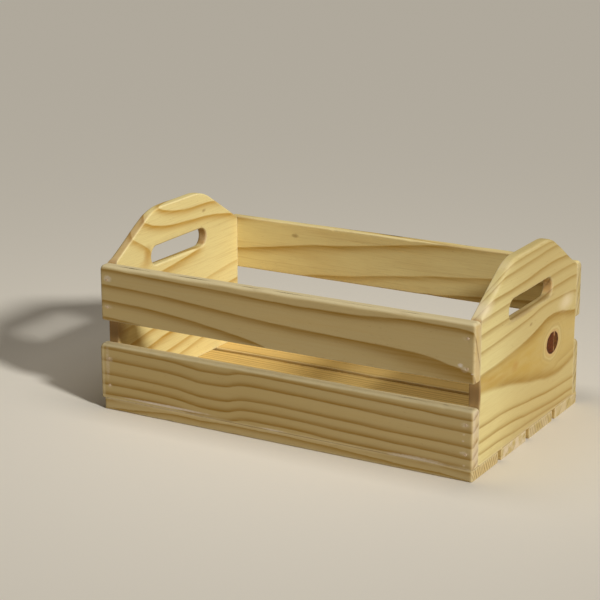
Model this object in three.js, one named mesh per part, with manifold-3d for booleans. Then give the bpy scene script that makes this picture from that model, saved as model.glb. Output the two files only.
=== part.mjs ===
// Wooden apple crate: ten pine boards held together by sunk finish nails.
//
// Four bottom slats carry two upright end panels. Two slats close each long side, with an
// open gap between them, and each end panel rises to a gable with a hand slot through it.
//
// Millimetres. +X runs along the slats, +Y from the front side to the back, +Z up. The
// origin is the middle of the footprint, on the surface that the crate stands on.

import * as THREE from 'three';
import * as BufferGeometryUtils from 'three/addons/utils/BufferGeometryUtils.js';
import Module from 'manifold-3d';

const wasm = await Module();
wasm.setup();

// Driving dimensions.
const CRATE_LENGTH = 330;
const CRATE_WIDTH = 203;
const CRATE_HEIGHT = 155;

const SLAT_WIDTH = 46;
const SLAT_THICKNESS = 9.5;
const SIDE_GAP = 20; // open space between the lower and upper slat of a long side
const BOTTOM_SLAT_COUNT = 4;
const PANEL_THICKNESS = 9;
const JOINT_GAP = 0.2; // seam between two boards that meet

const GABLE_FLAT_HALF = 37; // half of the level top, out to where the slopes would meet it
const GABLE_ROUND = 50; // radius of the sanded turn from level to slope
const SLOT_LENGTH = 82.5;
const SLOT_HEIGHT = 16;
const SLOT_CENTRE_Z = 115;

const ARRIS_RADIUS = 1.5; // sanded long edges of a slat
const END_BEVEL = 0.9; // sanded edges where a board is cut across, and round the panels
const ARRIS_STEPS = 3;
const ROUND_STEPS = 10; // segments in the slot ends and the gable turns

const NAIL_LENGTH = 25;
const NAIL_SHANK_RADIUS = 0.8;
const NAIL_HEAD_RADIUS = 1.4;
const NAIL_HEAD_HEIGHT = 1;
const NAIL_NECK_LENGTH = 0.8;
const NAIL_POINT_LENGTH = 2.4;
const NAIL_SIDES = 6;
const NAIL_SINK = 0.6; // depth of a nail's head below the face of its board
const NAIL_INSET = 11.5; // distance of a nail from the long edge of its slat
const NAIL_STAGGER = 1.5; // side and bottom nails pass each other in the panel's edge
const BORE_CLEARANCE = 0.15;

// Derived levels and places.
const LOWER_SLAT_Z = SLAT_THICKNESS + JOINT_GAP;
const UPPER_SLAT_Z = SLAT_THICKNESS + SLAT_WIDTH + SIDE_GAP;
const SHOULDER_Z = UPPER_SLAT_Z + SLAT_WIDTH;
const SIDE_SLAT_Y = (CRATE_WIDTH - SLAT_THICKNESS) / 2;
const PANEL_HALF_WIDTH = CRATE_WIDTH / 2 - SLAT_THICKNESS - JOINT_GAP;
const PANEL_X = (CRATE_LENGTH - PANEL_THICKNESS) / 2;
const BOTTOM_PITCH = (CRATE_WIDTH - SLAT_WIDTH) / (BOTTOM_SLAT_COUNT - 1);

const ENDS = [
  { name: 'left', side: -1 },
  { name: 'right', side: 1 },
];
const SIDES = [
  { name: 'front', side: -1 },
  { name: 'back', side: 1 },
];

// Materials.
function pine(color, roughness) {
  return new THREE.MeshStandardMaterial({ color, roughness, metalness: 0 });
}

const slatPine = pine(0xd8bc84, 0.58);
const panelPine = pine(0xe2c894, 0.55);
const nailSteel = new THREE.MeshStandardMaterial({
  color: 0x9a9894,
  roughness: 0.42,
  metalness: 0.9,
});

// Outlines.
function roundedRectangle(width, height, radius) {
  const x = width / 2 - radius;
  const y = height / 2 - radius;
  const quarter = Math.PI / 2;
  const shape = new THREE.Shape();
  shape.absarc(x, -y, radius, -quarter, 0, false);
  shape.absarc(x, y, radius, 0, quarter, false);
  shape.absarc(-x, y, radius, quarter, 2 * quarter, false);
  shape.absarc(-x, -y, radius, 2 * quarter, 3 * quarter, false);
  shape.closePath();
  return shape;
}

function handSlot() {
  const radius = SLOT_HEIGHT / 2;
  const reach = SLOT_LENGTH / 2 - radius;
  const quarter = Math.PI / 2;
  const slot = new THREE.Path();
  slot.absarc(reach, SLOT_CENTRE_Z, radius, -quarter, quarter, false);
  slot.absarc(-reach, SLOT_CENTRE_Z, radius, quarter, 3 * quarter, false);
  slot.closePath();
  return slot;
}

// The panel seen from outside the crate: straight sides up to the shoulders, two slopes,
// and a level top that runs into the slopes through round turns.
function panelOutline() {
  const run = PANEL_HALF_WIDTH - GABLE_FLAT_HALF;
  const slope = Math.atan2(CRATE_HEIGHT - SHOULDER_Z, run);
  const turnX = GABLE_FLAT_HALF - GABLE_ROUND * Math.tan(slope / 2);
  const turnZ = CRATE_HEIGHT - GABLE_ROUND;
  const up = Math.PI / 2;
  const shape = new THREE.Shape();
  shape.moveTo(-PANEL_HALF_WIDTH, LOWER_SLAT_Z);
  shape.lineTo(PANEL_HALF_WIDTH, LOWER_SLAT_Z);
  shape.lineTo(PANEL_HALF_WIDTH, SHOULDER_Z);
  shape.absarc(turnX, turnZ, GABLE_ROUND, up - slope, up, false);
  shape.absarc(-turnX, turnZ, GABLE_ROUND, up, up + slope, false);
  shape.lineTo(-PANEL_HALF_WIDTH, SHOULDER_Z);
  shape.closePath();
  shape.holes.push(handSlot());
  return shape;
}

// An outline drawn in a board's YZ plane becomes a solid along X, centred on X = 0.
const alongX = new THREE.Matrix4().makeBasis(
  new THREE.Vector3(0, 1, 0),
  new THREE.Vector3(0, 0, 1),
  new THREE.Vector3(1, 0, 0),
);

function extrudeAlongX(shape, length, curveSegments) {
  const geometry = new THREE.ExtrudeGeometry(shape, {
    depth: length - 2 * END_BEVEL,
    curveSegments,
    bevelEnabled: true,
    bevelThickness: END_BEVEL,
    bevelSize: END_BEVEL,
    bevelOffset: -END_BEVEL,
    bevelSegments: 1,
  });
  geometry.translate(0, 0, END_BEVEL - length / 2);
  return geometry.applyMatrix4(alongX);
}

// Boards. Each is a Mesh that stands where it belongs in the crate.
function board(name, geometry, material, x, y, z) {
  const mesh = new THREE.Mesh(geometry, material);
  mesh.name = name;
  mesh.position.set(x, y, z);
  mesh.updateMatrix();
  return mesh;
}

function bottomSlat(index) {
  const section = roundedRectangle(SLAT_WIDTH, SLAT_THICKNESS, ARRIS_RADIUS);
  const geometry = extrudeAlongX(section, CRATE_LENGTH, ARRIS_STEPS);
  const y = (index - (BOTTOM_SLAT_COUNT - 1) / 2) * BOTTOM_PITCH;
  return board(`bottom_slat_${index + 1}`, geometry, slatPine, 0, y, SLAT_THICKNESS / 2);
}

function sideSlat(side, level, bottomZ, topZ) {
  const section = roundedRectangle(SLAT_THICKNESS, topZ - bottomZ, ARRIS_RADIUS);
  const geometry = extrudeAlongX(section, CRATE_LENGTH, ARRIS_STEPS);
  const z = (bottomZ + topZ) / 2;
  return board(`${side.name}_slat_${level}`, geometry, slatPine, 0, side.side * SIDE_SLAT_Y, z);
}

function endPanel(end) {
  const geometry = extrudeAlongX(panelOutline(), PANEL_THICKNESS, ROUND_STEPS);
  return board(`end_panel_${end.name}`, geometry, panelPine, end.side * PANEL_X, 0, 0);
}

// Nails. The profile is turned about Y, with the top of the head at Y = 0 and the point
// at Y = -NAIL_LENGTH; a grown profile gives the bore that the nail leaves in the wood.
function nailProfile(clearance) {
  const head = NAIL_HEAD_RADIUS + clearance;
  const shank = NAIL_SHANK_RADIUS + clearance;
  const top = clearance > 0 ? 2 * NAIL_SINK : 0;
  const neck = NAIL_HEAD_HEIGHT + clearance;
  const tip = NAIL_LENGTH + 2 * clearance;
  return [
    new THREE.Vector2(0, top),
    new THREE.Vector2(head, top),
    new THREE.Vector2(head, -neck),
    new THREE.Vector2(shank, -neck - NAIL_NECK_LENGTH),
    new THREE.Vector2(shank, -tip + NAIL_POINT_LENGTH),
    new THREE.Vector2(0, -tip),
  ].reverse();
}

const nailGeometry = new THREE.LatheGeometry(nailProfile(0), NAIL_SIDES);
const boreGeometry = new THREE.LatheGeometry(nailProfile(BORE_CLEARANCE), NAIL_SIDES);

function nail(name, x, y, z, turnX) {
  const mesh = new THREE.Mesh(nailGeometry, nailSteel);
  mesh.name = name;
  mesh.position.set(x, y, z);
  mesh.rotation.x = turnX;
  mesh.updateMatrix();
  return mesh;
}

// Two nails in each end of a side slat, driven level into the edge of the end panel.
function sideNails(side, level, bottomZ) {
  const y = side.side * (CRATE_WIDTH / 2 - NAIL_SINK);
  const turn = side.side < 0 ? Math.PI : 0;
  const heights = [bottomZ + NAIL_INSET, bottomZ + SLAT_WIDTH - NAIL_INSET];
  return ENDS.flatMap((end) => heights.map((z, i) => {
    const name = `nail_${side.name}_${level}_${end.name}_${i + 1}`;
    return nail(name, end.side * (PANEL_X - NAIL_STAGGER), y, z, turn);
  }));
}

// Two nails in each end of a bottom slat, driven up into the end panel.
function bottomNails(slat, index) {
  const offset = SLAT_WIDTH / 2 - NAIL_INSET;
  return ENDS.flatMap((end) => [-offset, offset].map((dy, i) => {
    const name = `nail_bottom_${index + 1}_${end.name}_${i + 1}`;
    const x = end.side * (PANEL_X + NAIL_STAGGER);
    return nail(name, x, slat.position.y + dy, NAIL_SINK, -Math.PI / 2);
  }));
}

// Boolean cuts.
function toManifold(geometry) {
  const bare = geometry.clone();
  bare.deleteAttribute('normal');
  bare.deleteAttribute('uv');
  const merged = BufferGeometryUtils.mergeVertices(bare);
  return new wasm.Manifold(new wasm.Mesh({
    numProp: 3,
    vertProperties: new Float32Array(merged.attributes.position.array),
    triVerts: new Uint32Array(merged.index.array),
  }));
}

function fromManifold(solid) {
  const mesh = solid.getMesh();
  const geometry = new THREE.BufferGeometry();
  geometry.setAttribute('position', new THREE.BufferAttribute(mesh.vertProperties, 3));
  geometry.setIndex(new THREE.BufferAttribute(mesh.triVerts, 1));
  geometry.computeVertexNormals();
  return geometry;
}

// Cuts the bore of every nail that reaches into this board.
function cutBores(mesh, nails) {
  const toBoard = mesh.matrix.clone().invert();
  let solid = toManifold(mesh.geometry);
  for (const driven of nails) {
    const place = toBoard.clone().multiply(driven.matrix);
    solid = solid.subtract(toManifold(boreGeometry.clone().applyMatrix4(place)));
  }
  mesh.geometry = fromManifold(solid);
}

// Assembly.
const crate = new THREE.Group();
crate.name = 'apple_crate';

const panels = ENDS.map(endPanel);
const allNails = [];

for (let index = 0; index < BOTTOM_SLAT_COUNT; index += 1) {
  const slat = bottomSlat(index);
  const nails = bottomNails(slat, index);
  cutBores(slat, nails);
  crate.add(slat);
  allNails.push(...nails);
}

for (const side of SIDES) {
  const levels = [
    { level: 'lower', bottom: SLAT_THICKNESS, seat: LOWER_SLAT_Z },
    { level: 'upper', bottom: UPPER_SLAT_Z, seat: UPPER_SLAT_Z },
  ];
  for (const { level, bottom, seat } of levels) {
    const slat = sideSlat(side, level, seat, bottom + SLAT_WIDTH);
    const nails = sideNails(side, level, bottom);
    cutBores(slat, nails);
    crate.add(slat);
    allNails.push(...nails);
  }
}

for (const panel of panels) {
  const near = allNails.filter((driven) => driven.position.x * panel.position.x > 0);
  cutBores(panel, near);
  crate.add(panel);
}

crate.add(...allNails);

export default crate;
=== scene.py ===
import math
from dataclasses import dataclass
from functools import reduce

import bmesh
import bpy
import numpy as np
from mathutils import Matrix, Vector, geometry, noise


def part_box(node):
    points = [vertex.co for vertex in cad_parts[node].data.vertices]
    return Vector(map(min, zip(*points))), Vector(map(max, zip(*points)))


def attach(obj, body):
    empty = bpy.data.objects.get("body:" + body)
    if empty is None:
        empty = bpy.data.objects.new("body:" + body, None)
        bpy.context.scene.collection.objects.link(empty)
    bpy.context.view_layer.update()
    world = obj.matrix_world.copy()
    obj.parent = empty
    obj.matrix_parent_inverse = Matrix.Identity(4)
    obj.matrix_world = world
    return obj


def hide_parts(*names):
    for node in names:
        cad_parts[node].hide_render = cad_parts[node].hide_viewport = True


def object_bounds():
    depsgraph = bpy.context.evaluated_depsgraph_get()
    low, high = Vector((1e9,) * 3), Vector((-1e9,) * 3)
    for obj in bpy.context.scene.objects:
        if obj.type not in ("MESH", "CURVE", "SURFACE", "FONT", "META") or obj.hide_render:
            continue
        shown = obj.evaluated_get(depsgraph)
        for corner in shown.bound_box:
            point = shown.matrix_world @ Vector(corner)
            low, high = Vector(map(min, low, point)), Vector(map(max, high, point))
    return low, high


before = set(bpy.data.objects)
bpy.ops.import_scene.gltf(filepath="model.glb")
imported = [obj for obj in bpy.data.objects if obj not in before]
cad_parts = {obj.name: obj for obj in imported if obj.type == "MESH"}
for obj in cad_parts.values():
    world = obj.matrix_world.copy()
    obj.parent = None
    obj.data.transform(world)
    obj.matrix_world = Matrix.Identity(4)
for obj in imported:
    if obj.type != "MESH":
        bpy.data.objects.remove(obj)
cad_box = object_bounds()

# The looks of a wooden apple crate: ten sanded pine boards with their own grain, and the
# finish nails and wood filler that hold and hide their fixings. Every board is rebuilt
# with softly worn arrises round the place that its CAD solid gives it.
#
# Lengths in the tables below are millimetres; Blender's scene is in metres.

MM = 0.001
X, Y, Z = Vector((1, 0, 0)), Vector((0, 1, 0)), Vector((0, 0, 1))
NAIL_NODES = sorted(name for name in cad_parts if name.startswith("nail_"))

# ---- Boards: where each one is, and which way its grain runs ----


def middle_and_half(node):
    """The middle of a node's box and half its size, in millimetres."""
    low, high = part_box(node)
    return (low + high) / 2 / MM, (high - low) / 2 / MM


class Board:
    """A board's own axes: u along the grain, v across its face, w out of its face.

    u and v are measured in millimetres along the row's axes, from the row's origin, and
    w from the board's middle. Depth is the distance below its outer face.
    """

    def __init__(self, node, along, across, outward):
        self.node, self.is_panel = node, "panel" in node
        self.axes = self.along, self.across, self.outward = along, across, outward
        self.centre, half = middle_and_half(node)
        self.u_mid, self.v_mid = self.centre.dot(along), self.centre.dot(across)
        self.half_u, self.half_v, self.half_w = (abs(half.dot(axis)) for axis in self.axes)
        self.nail_sites = list(self.nails())

    def nails(self):
        """(u, v) of each nail driven in through the outer face, from the middle."""
        for name in NAIL_NODES:
            middle, half = middle_and_half(name)
            u, v, w = ((middle - self.centre).dot(axis) for axis in self.axes)
            inwards = abs(half.dot(self.outward))
            in_board = abs(w + inwards) < self.half_w and abs(v) < self.half_v
            if inwards > half.length / 2 and in_board:
                yield u, v

    def place(self, points):
        """Points (u, v, w) from the board's middle, in millimetres, in the row frame."""
        return (np.array(points) @ np.array(self.axes) + np.array(self.centre)) * MM


BOARD_AXES = {
    **{f"front_slat_{level}": (X, Z, -Y) for level in ("lower", "upper")},
    **{f"back_slat_{level}": (X, Z, Y) for level in ("lower", "upper")},
    **{f"bottom_slat_{number}": (X, Y, -Z) for number in range(1, 5)},
    "end_panel_left": (Y, Z, -X),
    "end_panel_right": (Y, Z, X),
}
BOARDS = {node: Board(node, *axes) for node, axes in BOARD_AXES.items()}

# Heights of the gap between the side slats, and of their top, where the gables' slopes start.
GAP_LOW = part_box("front_slat_lower")[1].z / MM
GAP_HIGH, SHOULDER = (corner.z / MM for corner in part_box("front_slat_upper"))


# ---- Mesh building ----

ARC_STEPS = 5
SURFACE_WAVE, SURFACE_WAVE_LENGTH = 0.08, 38.0  # the hand-sanded unevenness of a face
DIMPLE_DEPTH, DIMPLE_RADIUS = 0.28, 2.0
TOUCH = 0.09  # boards swell by this much into the joints round them


def smooth_noise(point, scale, seed):
    return noise.noise(Vector(point) / scale + Vector((seed * 17.3, seed * 5.1, seed * 9.7)))


def scene_object(name, data):
    """A new object in the scene, with the given mesh, light or camera."""
    made = bpy.data.objects.new(name, data)
    bpy.context.scene.collection.objects.link(made)
    return made


def mesh_object(name, points, faces):
    """A smooth mesh piece on the root body, with its faces turned outwards."""
    mesh = bpy.data.meshes.new(name)
    mesh.from_pydata([tuple(p) for p in points], [], faces)
    bm = bmesh.new()
    bm.from_mesh(mesh)
    bmesh.ops.recalc_face_normals(bm, faces=bm.faces)
    for face in bm.faces:
        face.smooth = True
    bm.to_mesh(mesh)
    bm.free()
    piece = scene_object(name, mesh)
    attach(piece, "root")
    return piece


def band(first, second, count):
    """Quads between two closed rings of count points, given where each ring begins."""
    turns = [(i, (i + 1) % count) for i in range(count)]
    return [(first + i, first + j, second + j, second + i) for i, j in turns]


def sanded(point, board, seed):
    """Takes off the unevenness of hand sanding, and the dimple over a sunk nail.

    The inner face of a slat stays flat, as it lies against other boards.
    """
    u, v, w = point
    side = math.copysign(1, w)
    if side > 0 or board.is_panel:
        wave = smooth_noise((u, v, side * 40), SURFACE_WAVE_LENGTH, seed)
        w -= side * SURFACE_WAVE * (1 - wave)
    v += SURFACE_WAVE * smooth_noise((u, w, v), SURFACE_WAVE_LENGTH, seed + 3)
    if point[2] > board.half_w - 0.2:
        for site_u, site_v in board.nail_sites:
            reach = math.hypot(u - site_u, v - site_v) / DIMPLE_RADIUS
            if reach < 1:
                w -= DIMPLE_DEPTH * (1 - reach * reach) ** 2
    return (u, v, w)


# Slats. Each is a row of cross-sections, from its left end to its right one.
END_ZONE = 8.0  # the closely divided stretch at each end, where the nails are
END_STEP, LENGTH_STEP, ROW_STEP = 0.7, 2.6, 5.0
END_ARC_STEPS = 7
END_INNER = 0.12  # how far the inner edges of the ends are rounded
ROW_EDGE, ROW_MARGIN = 4.0, 0.15  # from a face's rows to its edges and its arrises
NAIL_ROWS = (-2.4, -1.6, -0.8, 0, 0.8, 1.6, 2.4)  # from a row of nails
NICK_COUNT, NICKED_ARRIS = 14, 0.6  # only larger arrises than this are nicked
ARRIS_WANDER, WANDER_LENGTH, LEAST_ARRIS = 0.35, 22, 0.22


@dataclass
class SlatShape:
    """The sanded edges of a slat, in millimetres.

    arrises are the radii along its length, at (+v, -w), (+v, +w), (-v, +w), (-v, -w).
    corners are the radii of its outline, at the left (low, high) and right (low, high).
    end_outer rounds the outer edges of its ends; shifts move its two ends along.
    """

    arrises: tuple
    corners: tuple
    end_outer: float = 2.1
    shifts: tuple = (0.0, 0.0)


def arc_points(centre_v, centre_w, radius, start):
    turn = np.linspace(start, start + math.pi / 2, ARC_STEPS + 1)
    return [(centre_v + radius * math.cos(a), centre_w + radius * math.sin(a)) for a in turn]


def slat_section(v_low, v_high, w_low, w_high, radii, rows):
    """The (v, w) points round a slat, from its inner face's first row, anticlockwise.

    radii are its four arrises; rows are the v places of the points on both wide faces.
    """
    quarter = math.pi / 2
    narrow = (w_low * 2 / 3 + w_high / 3, w_low / 3 + w_high * 2 / 3)
    points = [(v, w_low) for v in rows]
    points += arc_points(v_high - radii[0], w_low + radii[0], radii[0], -quarter)
    points += [(v_high, w) for w in narrow]
    points += arc_points(v_high - radii[1], w_high - radii[1], radii[1], 0)
    points += [(v, w_high) for v in reversed(rows)]
    points += arc_points(v_low + radii[2], w_high - radii[2], radii[2], quarter)
    points += [(v_low, w) for w in reversed(narrow)]
    points += arc_points(v_low + radii[3], w_low + radii[3], radii[3], 2 * quarter)
    return points


def slat_stations(half_u, end_radius):
    """(u, depth from the end, inset) of each cross-section, from one end to the other."""
    turn = np.linspace(0, math.pi / 2, END_ARC_STEPS)
    end = [(end_radius * (1 - math.cos(a)), 1 - math.sin(a)) for a in turn]
    end += [(depth, 0.0) for depth in np.arange(end_radius + END_STEP, END_ZONE, END_STEP)]
    middle_half = half_u - END_ZONE
    middle = np.linspace(-middle_half, middle_half, int(2 * middle_half / LENGTH_STEP))
    stations = [(depth - half_u, depth, inset) for depth, inset in end]
    stations += [(u, END_ZONE, 0.0) for u in middle]
    return stations + [(half_u - depth, depth, inset) for depth, inset in reversed(end)]


def slat_rows(board):
    """v places of the points on a wide face, closer together at the rows of nails."""
    reach = board.half_v - ROW_EDGE
    rows = set(np.round(np.arange(-reach, reach + 0.1, ROW_STEP), 2))
    for _, v in board.nail_sites:
        rows = {row for row in rows if abs(row - v) > DIMPLE_RADIUS + 0.8}
        rows |= {round(v + offset, 2) for offset in NAIL_ROWS}
    return np.array(sorted(rows))


def corner_inset(radius, depth):
    """How far a rounded corner of a slat's outline stands in, depth from its end."""
    return radius - math.sqrt(radius ** 2 - max(radius - depth, 0.0) ** 2)


def nicks_along(board, rng):
    """Small dents on the arrises: (place, arris, length, depth)."""
    return [
        (rng.uniform(-board.half_u, board.half_u), rng.integers(4), rng.uniform(1.5, 5), depth)
        for depth in rng.uniform(0.2, 0.8, NICK_COUNT)
    ]


def worn_arrises(shape, nicks, u, inset, seed):
    """The four arris radii at one cross-section."""
    worn = []
    for corner, radius in enumerate(shape.arrises):
        place = (u, corner * 50, 0)
        wander = 1 + ARRIS_WANDER * smooth_noise(place, WANDER_LENGTH, seed)
        nick = sum(
            depth * math.exp(-(((u - at) / length) ** 2))
            for at, where, length, depth in nicks
            if where == corner and radius > NICKED_ARRIS
        )
        worn.append(max(radius * wander + nick - inset * 0.7, LEAST_ARRIS))
    return worn


def cap_faces(first, ring, rows):
    """Strips of quads across a slat's end, between its inner and its outer wide face."""
    arc = ARC_STEPS + 1
    inner = [(-k) % ring for k in range(arc, 0, -1)] + list(range(rows + arc))
    outer_start = rows + arc + 2
    outer = list(range(outer_start + 2 * arc + rows - 1, outer_start - 1, -1))
    quads = list(zip(inner, inner[1:], outer[1:], outer))
    quads.append((inner[0], outer[0], outer[0] + 1, outer[0] + 2))
    quads.append((inner[-1], inner[-1] + 1, inner[-1] + 2, outer[-1]))
    return [tuple(first + i for i in quad) for quad in quads]


def slat_piece(board, shape, seed):
    """A slat with sanded arrises that wander a little, and a dimple over each nail."""
    nicks = nicks_along(board, np.random.default_rng(seed))
    rows = slat_rows(board)
    shares = (rows - rows[0]) / (rows[-1] - rows[0])
    stations = slat_stations(board.half_u, shape.end_outer)
    points = []
    for u, depth, inset in stations:
        side = 0 if u < 0 else 1
        even = inset * END_INNER
        low, high = (max(corner_inset(radius, depth), even) for radius in shape.corners[side])
        v_low, v_high = low - board.half_v, board.half_v - high
        w_low = -board.half_w - TOUCH + even
        w_high = board.half_w - inset * shape.end_outer
        worn = worn_arrises(shape, nicks, u, inset * shape.end_outer, seed)
        first = v_low + max(worn[2:]) + ROW_MARGIN
        last = v_high - max(worn[:2]) - ROW_MARGIN
        placed = list(first + shares * (last - first) if depth < END_ZONE else rows)
        along = u + shape.shifts[side] * max(0.0, abs(u) / board.half_u - 0.5) * 2
        section = slat_section(v_low, v_high, w_low, w_high, worn, placed)
        points += [(along, v, w) for v, w in section]
    ring = len(points) // len(stations)
    last_ring = len(points) - ring
    faces = []
    for start in range(0, last_ring, ring):
        faces += band(start, start + ring, ring)
    faces += cap_faces(0, ring, len(rows)) + cap_faces(last_ring, ring, len(rows))
    points = [sanded(p, board, seed) for p in points]
    return mesh_object(board.node.replace("slat", "board"), board.place(points), faces)


# The end panels. Their outline is that of the CAD solid: straight sides, two slopes and
# a level top, with a hand slot.
GABLE_FLAT_HALF, GABLE_ROUND = 37.0, 50.0
SHOULDER_ROUND, FOOT_ROUND = 6.0, 2.2
SLOT_LENGTH, SLOT_HEIGHT, SLOT_CENTRE_Z = 82.5, 16.0, 115.0
CONTOUR_STEP, FACE_STEP, FINE_STEP = 2.2, 4.5, 1.3
OPEN_ARRIS, INNER_ARRIS, GAP_ARRIS, COVERED_ARRIS = 3.0, 1.2, 0.8, 0.12
SLOT_ARRISES = (2.4, 1.8)
RIM_WANDER, RIM_WANDER_LENGTH = 0.25, 20
GRID_JITTER, GRID_CLEARANCE = 0.12, 0.6  # in shares of the grid's step


def unit(vector):
    return vector / np.linalg.norm(vector)


def rounded_contour(corners, radii):
    """Evenly sampled points and outward normals round an anticlockwise polygon."""
    corners = np.array(corners)
    arcs = []
    for i, (here, radius) in enumerate(zip(corners, radii)):
        to_last = unit(corners[i - 1] - here)
        to_next = unit(corners[(i + 1) % len(corners)] - here)
        half = math.acos(np.clip(to_last @ to_next, -1, 1)) / 2
        run = radius / math.tan(half)
        centre = here + unit(to_last + to_next) * radius / math.sin(half)
        arcs.append((here + to_last * run, centre, here + to_next * run))
    points, normals = [], []
    for (start, centre, end), radius, following in zip(arcs, radii, arcs[1:] + arcs[:1]):
        angle = math.atan2(*(start - centre)[::-1])
        turn = (math.atan2(*(end - centre)[::-1]) - angle) % (2 * math.pi)
        steps = max(3, int(turn * radius / CONTOUR_STEP * 1.6), int(turn / 0.22))
        for k in range(steps + 1):
            a = angle + turn * k / steps
            normals.append(np.array((math.cos(a), math.sin(a))))
            points.append(centre + normals[-1] * radius)
        straight = following[0] - end
        pieces = int(np.linalg.norm(straight) / CONTOUR_STEP)
        points += [end + straight * k / pieces for k in range(1, pieces)]
        normals += normals[-1:] * (pieces - 1)
    return np.array(points), np.array(normals)


def panel_contours(board):
    """Points and normals round a panel, and round its slot, from the board's middle."""
    half, low, high = board.half_u + TOUCH, -board.half_v, board.half_v
    shoulder = SHOULDER - board.v_mid
    corners = [(-half, low), (half, low), (half, shoulder), (GABLE_FLAT_HALF, high)]
    corners += [(-GABLE_FLAT_HALF, high), (-half, shoulder)]
    radii = [FOOT_ROUND, FOOT_ROUND, SHOULDER_ROUND, GABLE_ROUND, GABLE_ROUND, SHOULDER_ROUND]
    reach_u, reach_v = SLOT_LENGTH / 2, SLOT_HEIGHT / 2
    slot_v = SLOT_CENTRE_Z - board.v_mid
    signs = ((-1, -1), (1, -1), (1, 1), (-1, 1))
    slot = [(side * reach_u, slot_v + up * reach_v) for side, up in signs]
    return rounded_contour(corners, radii), rounded_contour(slot, [reach_v - 0.02] * 4)


def outline_arrises(points, board, open_arris):
    """Arris radii round a panel: full round the gable, and small behind the slats."""
    v = points[:, 1]
    share = np.clip((v - (SHOULDER - board.v_mid) + 1.0) / 4.0, 0.0, 1.0)
    share = share * share * (3 - 2 * share)
    in_gap = (v > GAP_LOW - board.v_mid + 0.5) & (v < GAP_HIGH - board.v_mid - 0.5)
    least = np.where(in_gap, GAP_ARRIS, COVERED_ARRIS)
    return least + share * (open_arris - least)


def wall_layers(contour, half_w, outer_radii, inner_radii, inward, seed):
    """Rings of points from the outer face's edge, round the arris and over to the inner.

    inward is 1 where the board lies on the side away from the contour's normals, and -1
    round a hole.
    """
    points, normals = contour
    waves = np.array([smooth_noise((*p, 7), RIM_WANDER_LENGTH, seed) for p in points])
    wander = 1 + RIM_WANDER * waves
    outer, inner = wander * outer_radii, wander * inner_radii

    def arris(radii, a, side):
        flat = points - normals * (radii * (1 - math.sin(a)) * inward)[:, None]
        return np.column_stack([flat, side * (half_w - radii * (1 - math.cos(a)))])

    turn = np.linspace(0, math.pi / 2, ARC_STEPS)
    layers = [arris(outer, a, 1) for a in turn]
    top, bottom = half_w - outer, inner - half_w
    for share in (1 / 3, 2 / 3):
        layers.append(np.column_stack([points, top + (bottom - top) * share]))
    return layers + [arris(inner, a, -1) for a in reversed(turn)]


def inside_contour(contour, point):
    """True if the point is inside the closed line of contour points."""
    x, y = point
    px, py = contour.T
    qx, qy = np.roll(px, -1), np.roll(py, -1)
    crosses = (py > y) != (qy > y)
    rise = np.where(np.abs(qy - py) < 1e-12, 1e-12, qy - py)
    return bool(np.count_nonzero(crosses & (x < (qx - px) * (y - py) / rise + px)) % 2)


def on_face(outer, hole, point):
    return inside_contour(outer, point) and not inside_contour(hole, point)


def face_grid(outer, hole, knots, rng):
    """Loose points over a panel's face, closer together round its knots."""
    edge = np.vstack([outer, hole])
    sweeps = [(outer.min(0), outer.max(0), FACE_STEP, False)]
    sweeps += [(place - reach, place + reach, FINE_STEP, True) for place, reach in knots]
    found = []
    for low, high, step, close_up in sweeps:
        for row, v in enumerate(np.arange(low[1], high[1], step)):
            for u in np.arange(low[0], high[0], step):
                place = np.array((u + (row % 2) * step / 2, v))
                p = place + rng.uniform(-GRID_JITTER, GRID_JITTER, 2) * step
                near_knot = any(np.hypot(*(p - knot)) < reach for knot, reach in knots)
                if near_knot != close_up or not on_face(outer, hole, p):
                    continue
                if np.min(np.hypot(*(edge - p).T)) > step * GRID_CLEARANCE:
                    found.append(p)
    return np.array(found)


def face_triangles(outer, hole, loose):
    """Triangles over the face between the outline and the slot."""
    points = [Vector(p) for p in (*outer, *hole, *loose)]
    rims = ((0, len(outer)), (len(outer), len(hole)))
    edges = [(first + i, first + (i + 1) % count) for first, count in rims for i in range(count)]
    made = geometry.delaunay_2d_cdt(points, edges, [], 0, 1e-6)
    verts, triangles, sources = made[0], made[2], made[3]
    kept = []
    for tri in triangles:
        middle = sum((verts[i] for i in tri), Vector((0, 0))) / len(tri)
        if on_face(outer, hole, middle):
            kept.append([sources[i][0] for i in tri])
    return kept


def panel_piece(board, knots, seed):
    """An end panel: walls round its outline and its slot, and a face on each side."""
    rng = np.random.default_rng(seed)
    outline, slot = panel_contours(board)
    arrises = [outline_arrises(outline[0], board, size) for size in (OPEN_ARRIS, INNER_ARRIS)]
    walls = [
        wall_layers(outline, board.half_w, *arrises, 1, seed),
        wall_layers(slot, board.half_w, *SLOT_ARRISES, -1, seed + 1),
    ]
    points, faces, starts = [], [], []
    for layers in walls:
        count = len(layers[0])
        starts.append([len(points) + k * count for k in range(len(layers))])
        points += [tuple(p) for layer in layers for p in layer]
        for first, second in zip(starts[-1], starts[-1][1:]):
            faces += band(first, second, count)
    for side, layer in ((1, 0), (-1, len(walls[0]) - 1)):
        rims = [layers[layer][:, :2] for layers in walls]
        loose = face_grid(*rims, knots, rng)
        index = [start[layer] + i for start, rim in zip(starts, rims) for i in range(len(rim))]
        index += range(len(points), len(points) + len(loose))
        points += [(u, v, side * board.half_w) for u, v in loose]
        faces += [tuple(index[i] for i in tri) for tri in face_triangles(*rims, loose)]
    points = [sanded(p, board, seed) for p in points]
    return mesh_object(board.node.replace("end_", "gable_"), board.place(points), faces)


# ---- Nails and wood filler ----

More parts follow.
